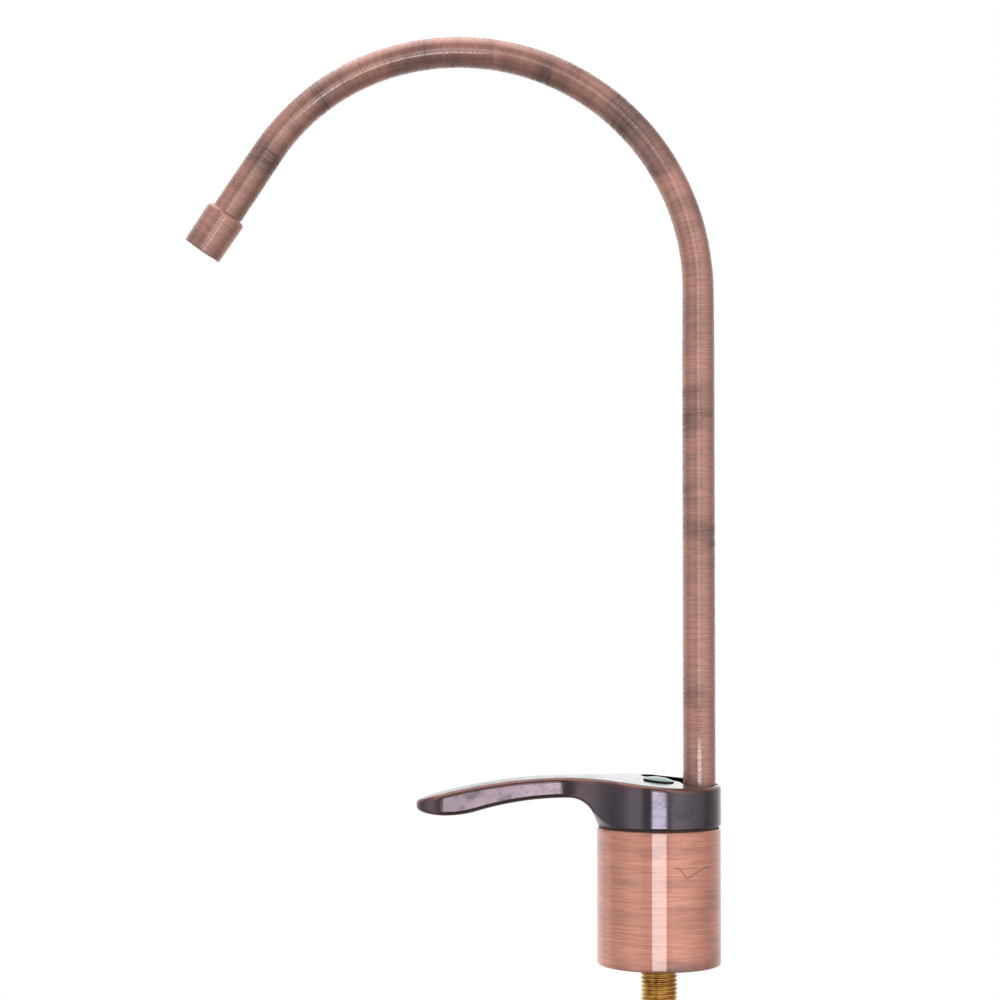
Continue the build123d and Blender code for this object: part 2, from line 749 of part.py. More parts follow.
skirt_radius = screw_head_radius + free_gap - thread_gap
skirt_foot = web_top + screw_head_height + seat_gap
with BuildPart() as lever_cap:
    with BuildSketch(Plane.XZ):
        with BuildLine():
            dome = TangentArc((0, axis_level + cap_dome_height), (cap_radius, axis_level), tangent=(1, 0))
            Polyline(
                dome @ 1,
                (cap_radius, cap_seat),
                (skirt_radius, cap_seat),
                (skirt_radius, skirt_foot),
                (skirt_radius - cap_skirt_wall, skirt_foot),
                (skirt_radius - cap_skirt_wall, cap_seat),
                (0, cap_seat),
                dome @ 0,
            )
        make_face()
    revolve(axis=Axis.Z)

# Spout tube, swept along its centreline
with BuildLine(Plane.XZ) as spout_path:
    rise = Line((spout_offset, tube_foot), (spout_offset, bend_start_height))
    main_bend = JernArc(rise @ 1, rise % 1, main_bend_radius, main_bend_angle)
    end_bend = JernArc(main_bend @ 1, main_bend % 1, end_bend_radius, end_bend_angle)
    run_out = Line(end_bend @ 1, (end_bend @ 1) + (end_bend % 1) * end_run)

with BuildPart() as spout_tube:
    with BuildSketch(Plane((spout_offset, 0, tube_foot))):
        Circle(tube_radius)
        Circle(tube_radius - tube_wall, mode=Mode.SUBTRACT)
    sweep(path=spout_path.wire())

# Spigot brazed into the foot of the tube
groove_floor = socket_radius - ring_section
ring_groove_root = tube_radius - retaining_ring_width + retaining_ring_depth
with BuildPart() as spout_spigot:
    spigot_outline = [
        (0, spigot_foot),
        (tube_radius - edge_break, spigot_foot),
        (tube_radius, spigot_foot + edge_break),
        (tube_radius, waist_bottom),
        (spigot_waist_radius, waist_bottom),
        (spigot_waist_radius, waist_top),
        (tube_radius, waist_top),
        (tube_radius, tube_foot),
        (tube_radius - tube_wall - thread_gap, tube_foot),
        (tube_radius - tube_wall - thread_gap, tube_foot + spigot_tail_length),
        (spigot_bore_radius, tube_foot + spigot_tail_length),
        (spigot_bore_radius, spigot_foot + spigot_floor),
        (0, spigot_foot + spigot_floor),
    ]
    add(turned(spigot_outline, spout_seat))
    for level in (lower_ring_level, upper_ring_level):
        add(ring(groove_floor, tube_radius + cut_overrun, level - ring_groove_width / 2,
                 level + ring_groove_width / 2, spout_seat), mode=Mode.SUBTRACT)
    add(ring(ring_groove_root, tube_radius + cut_overrun, retaining_level,
             retaining_level + retaining_ring_height, spout_seat), mode=Mode.SUBTRACT)
    with BuildSketch(Plane.YZ.offset(spout_offset)):
        with Locations((0, passage_level)):
            Circle(spigot_port_radius)
    extrude(amount=spigot_waist_radius, both=True, mode=Mode.SUBTRACT)
    with BuildSketch(Plane.XZ):
        with Locations((spout_offset, passage_level)):
            Circle(spigot_port_radius)
    extrude(amount=spigot_waist_radius, both=True, mode=Mode.SUBTRACT)

with BuildPart() as spout_o_rings:
    for level in (lower_ring_level, upper_ring_level):
        add(seal_ring(socket_radius - ring_section / 2, ring_section / 2 - thread_gap, level, spout_seat))

retaining_outer = socket_radius + retaining_ring_depth - running_gap
with BuildPart() as spout_retaining_ring:
    add(ring(ring_groove_root + thread_gap, retaining_outer, retaining_level,
             retaining_level + retaining_ring_height, spout_seat))
    with BuildSketch(Plane.XY.offset(retaining_level)):
        with Locations((spout_offset, -tube_radius)):
            Rectangle(retaining_ring_slit, retaining_ring_width * 2)
    extrude(amount=retaining_ring_height, mode=Mode.SUBTRACT)

# Outlet collar, pressed over the end of the tube, with its seal, straightener and screen
tube_end = run_out @ 1
outlet_seat = Plane(tube_end, x_dir=(0, 1, 0), z_dir=run_out % 1)
collar_mouth = collar_length - collar_socket_depth
collar_bore_radius = tube_radius + thread_gap
lip_level = collar_mouth - collar_lip
screen_level = lip_level - screen_thickness

with BuildPart() as outlet_collar:
    collar_outline = [
        (collar_bore_radius, -collar_socket_depth),
        (collar_outer_radius, -collar_socket_depth),
        (collar_mouth_radius, collar_mouth),
        (insert_radius - collar_lip_width, collar_mouth),
        (insert_radius - collar_lip_width, lip_level),
        (collar_bore_radius, lip_level),
    ]
    add(turned(collar_outline, outlet_seat))
    shoulder = outlet_collar.edges().filter_by(GeomType.CIRCLE).sort_by(SortBy.RADIUS)[-1]
    fillet(shoulder, collar_shoulder_round)
    mouth = outlet_collar.edges().filter_by(GeomType.CIRCLE).sort_by(Axis.Z)[:2]
    fillet(mouth.sort_by(SortBy.RADIUS)[-1], edge_break)

with BuildPart() as outlet_seal:
    add(ring(tube_radius - tube_wall, insert_radius, 0, outlet_seal_height, outlet_seat))

with BuildPart() as flow_straightener:
    with BuildSketch(outlet_seat.offset(outlet_seal_height)):
        Circle(insert_radius)
        RegularPolygon(straightener_cell, 6, mode=Mode.SUBTRACT)
        with PolarLocations(straightener_pitch, 6):
            RegularPolygon(straightener_cell, 6, mode=Mode.SUBTRACT)
        with PolarLocations(straightener_pitch * 2, 12):
            RegularPolygon(straightener_cell, 6, mode=Mode.SUBTRACT)
    extrude(amount=screen_level - outlet_seal_height)

with BuildPart() as outlet_screen:
    with BuildSketch(outlet_seat.offset(screen_level)):
        Circle(insert_radius)
        with GridLocations(screen_pitch, screen_pitch, screen_count, screen_count):
            Rectangle(screen_hole, screen_hole, mode=Mode.SUBTRACT)
    extrude(amount=screen_thickness)

pieces = {
    "body": body,
    "base_gasket": base_gasket,
    "threaded_shank": threaded_shank,
    "shank_seal": shank_seal,
    "rubber_washer": rubber_washer,
    "backing_washer": backing_washer,
    "lock_washer": lock_washer,
    "mounting_nut": mounting_nut,
    "connector_body": connector_body,
    "connector_seal": connector_seal,
    "connector_o_ring": connector_o_ring,
    "connector_grab_ring": connector_grab_ring,
    "connector_collet": connector_collet,
    "cartridge_body": cartridge_body,
    "cartridge_o_ring": cartridge_o_ring,
    "seat_seal": seat_seal,
    "fixed_disc": fixed_disc,
    "moving_disc": moving_disc,
    "thrust_washer": thrust_washer,
    "spindle": spindle,
    "spindle_o_rings": spindle_o_rings,
    "spindle_clip": spindle_clip,
    "glide_plate": glide_plate,
    "lever": lever,
    "lever_screw": lever_screw,
    "lever_cap": lever_cap,
    "spout_tube": spout_tube,
    "spout_spigot": spout_spigot,
    "spout_o_rings": spout_o_rings,
    "spout_retaining_ring": spout_retaining_ring,
    "outlet_collar": outlet_collar,
    "outlet_seal": outlet_seal,
    "flow_straightener": flow_straightener,
    "outlet_screen": outlet_screen,
}
for name, piece in pieces.items():
    piece.part.label = name
    export_step(piece.part, f"parts/{name}.step")
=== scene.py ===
"""Finishes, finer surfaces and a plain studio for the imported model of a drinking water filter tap.

Everything is in the model's own frame and in metres: +Z is up, the lever and the outlet point
along -X, and the lever opens towards +Y. Sizes are written in millimetres and multiplied by MM.
"""

import json
import logging
import math
from dataclasses import dataclass
from enum import Enum

import bpy
import numpy as np
from mathutils import Euler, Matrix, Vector


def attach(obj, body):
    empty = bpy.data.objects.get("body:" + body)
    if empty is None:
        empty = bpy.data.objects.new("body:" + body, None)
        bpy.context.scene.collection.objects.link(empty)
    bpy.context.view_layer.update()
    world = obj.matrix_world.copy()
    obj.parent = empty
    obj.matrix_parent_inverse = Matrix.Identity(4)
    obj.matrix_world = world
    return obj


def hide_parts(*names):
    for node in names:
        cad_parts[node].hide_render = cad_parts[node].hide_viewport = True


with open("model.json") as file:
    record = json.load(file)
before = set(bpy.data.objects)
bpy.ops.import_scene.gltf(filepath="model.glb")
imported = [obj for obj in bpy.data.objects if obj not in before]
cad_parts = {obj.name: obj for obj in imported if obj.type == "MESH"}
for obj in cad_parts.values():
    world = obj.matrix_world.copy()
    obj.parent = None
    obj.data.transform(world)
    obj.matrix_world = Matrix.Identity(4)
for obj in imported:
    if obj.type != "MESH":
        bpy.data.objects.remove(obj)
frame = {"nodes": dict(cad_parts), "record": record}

MM = 0.001
LOG = logging.getLogger("tap")
Pair = tuple[float, float]
Triple = tuple[float, float, float]
Colour = Triple
NO_TURN: Triple = (0.0, 0.0, 0.0)
WHITE: Colour = (1.0, 1.0, 1.0)
COOL: Colour = (0.9, 0.95, 1.0)


def linear(red: int, green: int, blue: int) -> Colour:
    """Turns a display colour into the linear one that a shader takes.

    Args:
        red: Red from 0 to 255.
        green: Green from 0 to 255.
        blue: Blue from 0 to 255.

    Returns:
        The linear colour: a share under 0.04045 is divided by 12.92, and any other is
        ((share + 0.055) / 1.055) to the power 2.4.
    """
    share = np.array([red, green, blue]) / 255
    values = np.where(share > 0.04045, ((share + 0.055) / 1.055) ** 2.4, share / 12.92)
    return tuple(float(value) for value in values)


class Value:
    """A shader socket that takes part in arithmetic. Each operator adds one Math node."""

    def __init__(self, shader: "Shader", socket: bpy.types.NodeSocket) -> None:
        """Keeps the socket and the shader that it belongs to."""
        self.shader = shader
        self.socket = socket

    def _math(self, operation: str, first: "Operand", second: "Operand") -> "Value":
        """Adds a Math node for two operands."""
        return self.shader.node("ShaderNodeMath", {0: first, 1: second}, operation=operation)

    def __add__(self, other: "Operand") -> "Value":
        """Self plus other."""
        return self._math("ADD", self, other)

    __radd__ = __add__

    def __sub__(self, other: "Operand") -> "Value":
        """Self minus other."""
        return self._math("SUBTRACT", self, other)

    def __rsub__(self, other: "Operand") -> "Value":
        """Other minus self."""
        return self._math("SUBTRACT", other, self)

    def __mul__(self, other: "Operand") -> "Value":
        """Self times other."""
        return self._math("MULTIPLY", self, other)

    __rmul__ = __mul__

    def __truediv__(self, other: "Operand") -> "Value":
        """Self divided by other."""
        return self._math("DIVIDE", self, other)

    def at_least(self, other: "Operand") -> "Value":
        """The larger of self and other."""
        return self._math("MAXIMUM", self, other)

    def at_most(self, other: "Operand") -> "Value":
        """The smaller of self and other."""
        return self._math("MINIMUM", self, other)

    def between(self, low: float, high: float) -> "Value":
        """A smooth step from 0 where self is low to 1 where it is high."""
        inputs = {"Value": self, "From Min": low, "From Max": high}
        return self.shader.node("ShaderNodeMapRange", inputs, interpolation_type="SMOOTHSTEP")


Operand = Value | float


class Shader:
    """The node tree of a material or of the world, and the few ways this file adds to it."""

    def __init__(self, name: str, world: bool = False) -> None:
        """Makes the material or the world with an empty tree and its output.

        Args:
            name: Its name.
            world: Whether it is a world.
        """
        self.holder = (bpy.data.worlds if world else bpy.data.materials).new(name)
        self.holder.use_nodes = True
        self.tree = self.holder.node_tree
        self.tree.nodes.clear()
        kind = "ShaderNodeOutputWorld" if world else "ShaderNodeOutputMaterial"
        self.output = self.tree.nodes.new(kind)

    def node(
        self, kind: str, inputs: dict | None = None, output: int | str = 0, **settings: object
    ) -> Value:
        """Adds one node.

        Args:
            kind: The node's type.
            inputs: Values or links by socket name or number.
            output: The output socket to hand back.
            **settings: The node's own settings, set before its sockets. "stops" fills a ramp.

        Returns:
            The chosen output.
        """
        made = self.tree.nodes.new(kind)
        for name, setting in settings.items():
            if name == "stops":
                elements = made.color_ramp.elements
                while len(elements) < len(setting):
                    elements.new(0.5)
                for element, (place, colour) in zip(elements, setting):
                    element.position, element.color = place, (*colour, 1)
            else:
                setattr(made, name, setting)
        for key, value in (inputs or {}).items():
            if isinstance(value, Value):
                self.tree.links.new(value.socket, made.inputs[key])
            elif isinstance(value, tuple) and made.inputs[key].type == "RGBA":
                made.inputs[key].default_value = (*value, 1)
            else:
                made.inputs[key].default_value = value
        return Value(self, made.outputs[output])

    def own_place(self, path: bool = False) -> Value:
        """The piece's Object coordinates, or its unrolled map, both in metres."""
        return self.node("ShaderNodeTexCoord", output="UV" if path else "Object")

    def place(self, rate: Triple, turn: Triple = NO_TURN, path: bool = False) -> Value:
        """A pattern's coordinates.

        Args:
            rate: How many of the pattern's units fit into a metre along each axis.
            turn: Rotation of the coordinates, in radians.
            path: Whether to take the piece's own unrolled map in place of Object coordinates.

        Returns:
            The scaled coordinates.
        """
        source = self.own_place(path)
        if turn != NO_TURN:
            source = self.node("ShaderNodeMapping", {"Vector": source, "Rotation": turn})
        return self.node("ShaderNodeMapping", {"Vector": source, "Scale": rate})

    def axes(self, vector: Value) -> tuple[Value, Value, Value]:
        """The X, the Y and the Z of a vector."""
        split = self.node("ShaderNodeSeparateXYZ", {0: vector}).socket.node
        return tuple(Value(self, split.outputs[name]) for name in "XYZ")

    def noise(self, place: Value, detail: float = 2.0, roughness: float = 0.5) -> Value:
        """Cloudy noise of about 0.5, one cloud to a unit of the coordinates."""
        inputs = {"Vector": place, "Scale": 1.0, "Detail": detail, "Roughness": roughness}
        return self.node("ShaderNodeTexNoise", inputs)

    def blend(self, share: Operand, low: Value | Colour, high: Value | Colour) -> Value:
        """Mixes two colours: low at share 0 and high at 1."""
        inputs = {0: share, 6: low, 7: high}
        return self.node("ShaderNodeMix", inputs, output=2, data_type="RGBA")

    def bump(
        self, height: Value, distance: float, strength: float = 1.0, under: Value | None = None
    ) -> Value:
        """Adds relief to a normal.

        Args:
            height: The relief, in units of the distance.
            distance: How far a height of 1 stands up, in metres.
            strength: Share of the relief that is used.
            under: The normal that the relief stands on, where it isn't the surface's own.

        Returns:
            The bumped normal.
        """
        inputs: dict = {"Height": height, "Distance": distance, "Strength": strength}
        if under is not None:
            inputs["Normal"] = under
        return self.node("ShaderNodeBump", inputs)

    def surface(self, **inputs: object) -> bpy.types.Material:
        """Ends the tree with a Principled surface.

        Args:
            **inputs: Its sockets, with _ for the space in their names.

        Returns:
            The finished material.
        """
        named = {name.replace("_", " "): value for name, value in inputs.items()}
        return self.end(self.node("ShaderNodeBsdfPrincipled", named))

    def end(self, shade: Value) -> bpy.types.Material | bpy.types.World:
        """Joins the last node to the output and hands back the finished material or world."""
        self.tree.links.new(shade.socket, self.output.inputs["Surface"])
        return self.holder


@dataclass(frozen=True)
class Scratch:
    """A wavy scratch across a piece's front. Its course is pairs of X and Z in millimetres."""

    course: tuple[Pair, ...]
    width: float = 0.5 * MM
    core: float = 0.05 * MM
    depth: float = 0.22 * MM
    shade: float = 0.08
    waver: float = 0.25 * MM
    waver_rate: float = 700.0
    fade_in: Pair = (-0.04, 0.05)
    fade_out: Pair = (0.9, 1.05)
    front: Pair = (-4.0 * MM, 0.0)

    def mask(self, shader: Shader) -> Value:
        """The scratch as a share: 1 in its middle and 0 away from it.

        A ramp over X gives the scratch's height, and noise makes that waver. The share falls off
        smoothly with the distance from that height, and fades out at both ends and behind.

        Args:
            shader: The tree to add it to.

        Returns:
            The share.
        """
        x, y, z = shader.axes(shader.own_place())
        left, levels = self.course[0][0], [level for _, level in self.course]
        span, low, rise = self.course[-1][0] - left, min(levels), max(levels) - min(levels)
        stops = [((at - left) / span, ((level - low) / rise,) * 3) for at, level in self.course]
        along = (x - left * MM) / (span * MM)
        height = shader.node("ShaderNodeValToRGB", {0: along}, stops=stops) * (rise * MM) + low * MM
        wave = shader.noise(shader.place((self.waver_rate,) * 3), detail=3) * 2 - 1
        away = z - height + wave * self.waver
        away = away.at_least(away * -1)
        ends = along.between(*self.fade_in) * (1 - along.between(*self.fade_out))
        inside = ends * (1 - y.between(*self.front))
        return (1 - away.between(self.core, self.width)) * inside


class Lay(Enum):
    """Which way the brush lines of a copper finish run."""

    ROUND_UPRIGHT = "round the upright axis"
    ROUND_OUTLET = "round the outlet's sloping axis"
    ACROSS_PATH = "across the piece's own path"


@dataclass(frozen=True)
class AntiqueCopper:
    """Brushed antique copper plating under a clear lacquer.

    A rate is the number of clouds of noise in a metre, first along the brushing and then across
    it. A range is the noise at which an effect starts and the noise at which it is full.
    """

    lay: Lay
    bright: Colour = linear(216, 151, 130)
    mid: Colour = linear(182, 118, 96)
    dark: Colour = linear(110, 74, 68)
    darkest: float = 0.85
    fine_rate: Pair = (110.0, 5200.0)
    middle_rate: Pair = (80.0, 1500.0)
    band_rate: Pair = (24.0, 130.0)
    patch_rate: Triple = (34.0, 34.0, 30.0)
    line_range: Pair = (0.36, 0.64)
    patch_range: Pair = (0.49, 0.67)
    patch_share: float = 0.5
    streak_range: Pair = (0.5, 0.66)
    streak_share: float = 0.4
    stronger: float = 0.6
    roughness: float = 0.44
    line_roughness: float = 0.16
    worn_roughness: float = 0.1
    line_depth: float = 0.03 * MM
    line_strength: float = 0.5
    metallic: float = 0.9
    coat_roughness: float = 0.04
    coat_index: float = 1.53
    worn_coat: float = 0.0
    worn_coat_range: Pair = (0.42, 0.56)
    round_edge: float = 2.2 * MM
    outlet_turn: float = math.radians(145.8)
    scratch: Scratch | None = None

    def material(self) -> bpy.types.Material:
        """Brush lines are noise stretched along their run, and patina is slow noise in bands.

        Returns:
            The finished material.
        """
        shader = Shader("antique_copper_" + self.lay.name.lower())
        path = self.lay is Lay.ACROSS_PATH
        turn = (0.0, self.outlet_turn, 0.0) if self.lay is Lay.ROUND_OUTLET else NO_TURN

        def brushed(along: float, across: float) -> Value:
            """Coordinates that run slowly along the brushing and quickly across it."""
            return shader.place((along, across, 0) if path else (along, along, across), turn, path)

        fine = shader.noise(brushed(*self.fine_rate), detail=3, roughness=0.65)
        middle = shader.noise(brushed(*self.middle_rate), detail=3, roughness=0.6)
        band = shader.noise(brushed(*self.band_rate), detail=3, roughness=0.55)
        patch = shader.noise(shader.place(self.patch_rate, path=path), detail=3, roughness=0.6)
        lines = fine * 0.5 + middle * 0.5
        weaker = 1 - self.stronger
        worn = band * self.stronger + patch * weaker
        worn = worn.between(*self.patch_range) * self.patch_share
        streaks = lines * self.stronger + band * weaker
        darkening = worn + streaks.between(*self.streak_range) * self.streak_share
        relief = None
        if self.round_edge:
            relief = shader.node("ShaderNodeBevel", {"Radius": self.round_edge}, samples=4)
        relief = shader.bump(lines, self.line_depth, self.line_strength, relief)
        if self.scratch:
            scratch = self.scratch.mask(shader)
            darkening = darkening + scratch * self.scratch.shade
            relief = shader.bump(scratch * -1, self.scratch.depth, under=relief)
        colour = shader.blend(lines.between(*self.line_range), self.mid, self.bright)
        coat: Operand = 1.0
        if self.worn_coat:
            coat = 1 - middle.between(*self.worn_coat_range) * self.worn_coat
        return shader.surface(
            Base_Color=shader.blend(darkening.at_most(self.darkest), colour, self.dark),
            Metallic=self.metallic, Normal=relief,
            Roughness=lines * self.line_roughness + worn * self.worn_roughness + self.roughness,
            Coat_Weight=coat, Coat_Roughness=self.coat_roughness, Coat_IOR=self.coat_index,
        )


@dataclass(frozen=True)
class DarkBronze:
    """Polished dark bronze, rubbed back to copper along its rims and clouded by handling.

    A rim is where the normal's Z lies in the rim's range but not yet in the flat's, and the foot
    is where it points down as much. The paddle is duller from handling beyond the first X of
    its range, towards the tip.
    """

    dark: Colour = linear(82, 76, 84)
    warm: Colour = linear(98, 80, 80)
    deep: Colour = linear(60, 54, 60)
    copper: Colour = linear(124, 86, 77)
    rim_range: Pair = (0.03, 0.4)
    flat_range: Pair = (0.8, 0.97)
    rim_share: float = 0.7
    foot_share: float = 0.35
    handled_range: Pair = (22.0 * MM, 50.0 * MM)
    handled_roughness: float = 0.09
    cloud_rate: Triple = (90.0, 90.0, 140.0)
    rubbed_range: Pair = (0.3, 0.55)
    rubbed_least: float = 0.5
    smudge_rate: Triple = (130.0, 130.0, 190.0)
    deep_range: Pair = (0.44, 0.72)
    dull_range: Pair = (0.45, 0.75)
    slow_rate: Triple = (28.0, 40.0, 60.0)
    warm_range: Pair = (0.42, 0.62)
    tone_share: float = 0.5
    polish_rate: float = 900.0
    polish_depth: float = 0.004 * MM
    polish_strength: float = 0.35
    wave_rate: float = 180.0
    wave_depth: float = 0.03 * MM
    wave_strength: float = 0.5
    roughness: float = 0.065
    cloud_roughness: float = 0.12
    smudge_roughness: float = 0.1

    def material(self) -> bpy.types.Material:
        """Rims come from the normal alone, so they follow every rounding, and smudges from noise.

        Returns:
            The finished material.
        """
        shader = Shader("dark_bronze_polished")
        _, _, upward = shader.axes(shader.node("ShaderNodeNewGeometry", output="Normal"))
        x, _, _ = shader.axes(shader.own_place())
        rim = upward.between(*self.rim_range) * (1 - upward.between(*self.flat_range))
        foot = (upward * -1).between(*self.rim_range)
        handled = (x * -1).between(*self.handled_range)
        cloud = shader.noise(shader.place(self.cloud_rate), detail=4, roughness=0.6)
        smudge = shader.noise(shader.place(self.smudge_rate), detail=5, roughness=0.62)
        slow = shader.noise(shader.place(self.slow_rate))
        warming = slow.between(*self.warm_range) * self.tone_share
        deepening = smudge.between(*self.deep_range) * self.tone_share
        tone = shader.blend(deepening, shader.blend(warming, self.dark, self.warm), self.deep)
        rubbed = rim * self.rim_share + foot * self.foot_share
        clouded = cloud.between(*self.rubbed_range) * (1 - self.rubbed_least)
        rubbed = rubbed * (clouded + self.rubbed_least)
        polish = shader.noise(shader.place((self.polish_rate,) * 3), detail=3)
        waves = shader.noise(shader.place((self.wave_rate,) * 3))
        relief = shader.bump(waves, self.wave_depth, self.wave_strength)
        relief = shader.bump(polish, self.polish_depth, self.polish_strength, relief)
        rough = smudge.between(*self.dull_range) * self.smudge_roughness
        rough = cloud * self.cloud_roughness + rough + handled * self.handled_roughness
        return shader.surface(
            Base_Color=shader.blend(rubbed, tone, self.copper), Metallic=1.0,
            Roughness=rough + self.roughness, Normal=relief,
        )


@dataclass(frozen=True)
class TurnedMetal:
    """A plain metal turned on a lathe: fine rings round the upright axis and a little dirt.

    Its roughness is the one at the noise's middle, and it changes with the noise by the spread.
    """

    name: str
    bright: Colour
    dull: Colour
    roughness: float
    ring_rate: Triple = (90.0, 90.0, 6500.0)
    ring_depth: float = 0.02 * MM
    ring_strength: float = 0.4
    ring_share: float = 0.3
    cloud_rate: float = 260.0
    dirt_range: Pair = (0.42, 0.66)
    middle: float = 0.4
    spread: float = 0.2

    def material(self) -> bpy.types.Material:
        """Rings are noise that changes quickly along Z only.

        Returns:
            The finished material.
        """
        shader = Shader(self.name)
        rings = shader.noise(shader.place(self.ring_rate))
        cloud = shader.noise(shader.place((self.cloud_rate,) * 3), detail=4, roughness=0.6)
        dirt = cloud * (1 - self.ring_share) + rings * self.ring_share
        dirt = dirt.between(*self.dirt_range)
        return shader.surface(
            Base_Color=shader.blend(dirt, self.bright, self.dull), Metallic=1.0,
            Roughness=cloud * self.spread + (self.roughness - self.middle * self.spread),
            Normal=shader.bump(rings, self.ring_depth, self.ring_strength),
        )


@dataclass(frozen=True)
class Moulding:
    """Moulded plastic or rubber: a fine grain and slow changes of tone.

    Its roughness is the one at the noise's middle, and it changes with the noise by the spread.
    """

    name: str
    colour: Colour
    shade: Colour
    roughness: float
    grain_rate: float = 900.0
    grain_depth: float = 0.03 * MM
    grain_strength: float = 0.5
    grain_share: float = 0.4
    slow_rate: float = 120.0
    tone_range: Pair = (0.4, 0.62)
    middle: float = 0.5
    spread: float = 0.14
    coat: float = 0.0
    coat_roughness: float = 0.08

    def material(self) -> bpy.types.Material:
        """Grain is fine noise and tone is slow noise.

        Returns:
            The finished material.
        """
        shader = Shader(self.name)
        grain = shader.noise(shader.place((self.grain_rate,) * 3), detail=3, roughness=0.6)
        slow = shader.noise(shader.place((self.slow_rate,) * 3))
        tone = slow * (1 - self.grain_share) + grain * self.grain_share
        tone = tone.between(*self.tone_range)
        return shader.surface(
            Base_Color=shader.blend(tone, self.colour, self.shade),
            Roughness=grain * self.spread + (self.roughness - self.middle * self.spread),
            Normal=shader.bump(grain, self.grain_depth, self.grain_strength),
            Coat_Weight=self.coat, Coat_Roughness=self.coat_roughness,
        )


class Finishes:
    """All the finishes of the tap, by the record's slot names and by use."""

    turned: tuple[TurnedMetal, ...] = (
        TurnedMetal("plain_brass", linear(208, 168, 98), linear(148, 111, 60), 0.3),
        TurnedMetal("zinc_plated_steel", linear(196, 196, 194), linear(150, 150, 150), 0.34),
        TurnedMetal("stainless_steel", linear(206, 206, 206), linear(164, 164, 166), 0.24),
    )
    moulded: tuple[Moulding, ...] = (
        Moulding(
            "black_rubber", linear(38, 38, 40), linear(26, 26, 27), 0.62, grain_rate=1500.0
        ),
        Moulding(
            "ceramic_white", linear(232, 228, 216), linear(222, 216, 202), 0.3, grain_rate=2500.0
        ),
        Moulding("dark_nylon", linear(44, 24, 20), linear(30, 18, 16), 0.6),
        Moulding("white_acetal", linear(228, 228, 224), linear(220, 220, 215), 0.42),
        Moulding("grey_acetal", linear(138, 140, 142), linear(118, 120, 122), 0.42),
        Moulding(
            "cap_grey", linear(104, 136, 140), linear(86, 116, 118), 0.2, grain_rate=2200.0,
            coat=0.3,
        ),
    )
    body = AntiqueCopper(
        Lay.ROUND_UPRIGHT,
        scratch=Scratch((
            (4.5, 31.1), (6.2, 31.0), (7.0, 30.4), (7.8, 28.9), (8.4, 28.1),
            (9.0, 28.0), (10.6, 29.1), (11.8, 29.4), (13.9, 30.6), (18.1, 31.1),
        )),
    )
    tube = AntiqueCopper(
        Lay.ACROSS_PATH, linear(184, 132, 117), linear(150, 106, 95), linear(84, 62, 58),
        fine_rate=(110.0, 2600.0), band_rate=(24.0, 60.0), patch_rate=(26.0, 26.0, 0.0),
        line_range=(0.43, 0.57), patch_range=(0.44, 0.67), patch_share=0.65, streak_share=0.45,
        worn_coat=0.6, coat_index=1.6, round_edge=0.0,
    )
    collar = AntiqueCopper(
        Lay.ROUND_OUTLET, linear(184, 132, 117), linear(150, 106, 95), linear(84, 62, 58),
        fine_rate=(110.0, 2600.0), line_range=(0.42, 0.58), worn_coat=0.5, round_edge=0.5 * MM,
    )

    def __init__(self) -> None:
        """Makes each material once."""
        self.by_slot = {plain.name: plain.material() for plain in self.turned + self.moulded}
        self.by_slot["antique_copper"] = self.body.material()
        self.by_slot["dark_bronze"] = DarkBronze().material()
        self.tube_copper = self.tube.material()
        self.collar_copper = self.collar.material()

    def dress_nodes(self) -> None:
        """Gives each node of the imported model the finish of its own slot."""
        for part in frame["record"]["subparts"]:
            node, slot = frame["nodes"][part["node"]], part["material_slot"]
            on_collar = part["node"] == "outlet_collar"
            node.data.materials.clear()
            node.data.materials.append(self.collar_copper if on_collar else self.by_slot[slot])
            LOG.info("%s has %s", part["node"], slot)


def ring_grid(rows: int, columns: int) -> np.ndarray:
    """Faces of a grid that closes on itself both ways, like a bent tube that bites its tail.

    Args:
        rows: Rings of the grid.
        columns: Points of a ring.

    Returns:
        One row of four vertex numbers to a face: (i, j), (i, j + 1), (i + 1, j + 1), (i + 1, j).
    """
    row, column = np.meshgrid(np.arange(rows), np.arange(columns), indexing="ij")
    here, below = row * columns, (row + 1) % rows * columns
    beside = (column + 1) % columns
    corners = (here + column, here + beside, below + beside, below + column)
    return np.stack([corner.ravel() for corner in corners], axis=1)


def unrolled(rows: int, columns: int, along: np.ndarray, around: np.ndarray) -> np.ndarray:
    """Unrolled map for ring_grid faces, with the seam's last column carried past the first.

    Args:
        rows: Rings of the grid.
        columns: Points of a ring.
        along: Distance of each ring along the path.
        around: Distance of each point round the ring, and one more for the closed end.

    Returns:
        Two numbers for each corner of each face.
    """
    row, column = np.meshgrid(np.arange(rows), np.arange(columns), indexing="ij")
    here, following = along[row], along[(row + 1) % rows]
    first, second = around[column], around[column + 1]
    corners = [(first, here), (second, here), (second, following), (first, following)]
    return np.stack([np.stack(pair, axis=-1) for pair in corners], axis=2).reshape(-1, 2)


def make_piece(
    name: str, points: np.ndarray, faces: list[list[int]], maps: np.ndarray | None = None
) -> bpy.types.Object:
    """Puts points and faces into a smooth-shaded mesh object at the origin.

    Args:
        name: The piece's name.
        points: Vertex places in metres.
        faces: Vertex numbers of each face.
        maps: Unrolled map of each face corner, as two numbers in metres.

    Returns:
        The new object.
    """
    mesh = bpy.data.meshes.new(name)
    mesh.from_pydata(points.reshape(-1, 3).tolist(), [], faces)
    mesh.polygons.foreach_set("use_smooth", np.ones(len(faces), bool))
    if maps is not None:
        layer = mesh.uv_layers.new(name="unrolled")
        layer.data.foreach_set("uv", maps.astype(np.float32).ravel())
    mesh.update()
    piece = bpy.data.objects.new(name, mesh)
    bpy.context.scene.collection.objects.link(piece)
    return piece


